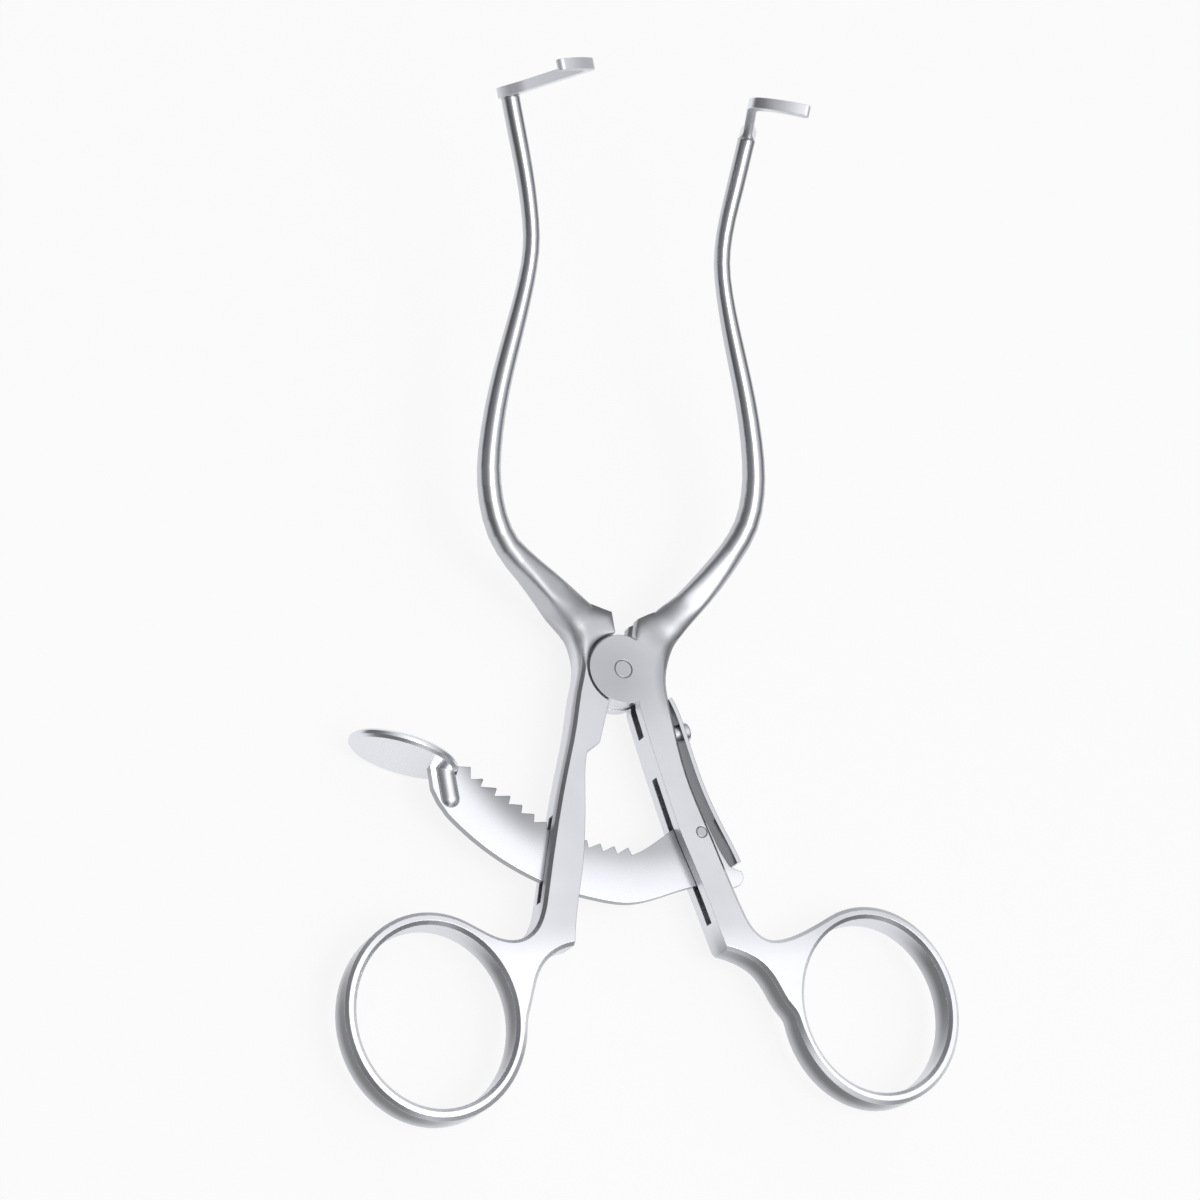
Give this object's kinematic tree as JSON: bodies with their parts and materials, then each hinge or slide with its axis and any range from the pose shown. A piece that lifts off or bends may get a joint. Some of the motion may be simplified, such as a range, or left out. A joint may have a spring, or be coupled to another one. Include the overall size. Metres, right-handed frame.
{
  "type": "self retaining retractor",
  "caption": "Ratcheted surgical retractor: two hinged arms with finger rings, a toothed bar with a thumb plate, and small bent blades that hold a wound open.",
  "frame": {"origin": "on the main pivot's axis, on the rear face of the joint", "axes": "+X to the arm that carries the ratchet bar's pin, +Y to the blades, +Z out of the front face, the way the blades stand up"},
  "size_m": [0.0904, 0.1391, 0.0547],
  "materials": {
    "satin_steel": "satin, fine grained",
    "bright_steel": "polished"
  },
  "bodies": {
    "right_arm": {"right_arm": "satin_steel", "right_blade": "bright_steel", "pivot_pin": "satin_steel", "ratchet_pin": "bright_steel", "leaf_spring": "bright_steel", "spring_screw": "bright_steel"},
    "left_arm": {"left_arm": "satin_steel", "left_blade": "bright_steel"},
    "ratchet": {"ratchet_bar": "satin_steel", "thumb_plate": "satin_steel"}
  },
  "joints": [
    {"name": "main_pivot", "type": "hinge", "parent": "right_arm", "child": "left_arm", "pos_m": [0, 0, 0.0025], "axis": [0, 0, 1], "range_deg": [-18.4, 18.4]},
    {"name": "ratchet_swing", "type": "hinge", "parent": "right_arm", "child": "ratchet", "pos_m": [0.0089, -0.0238, 0.0025], "axis": [0, 0, 1], "range_deg": [-1.6, 4], "stiffness_Nm_per_rad": 0.05, "springref_deg": -1.72}
  ]
}
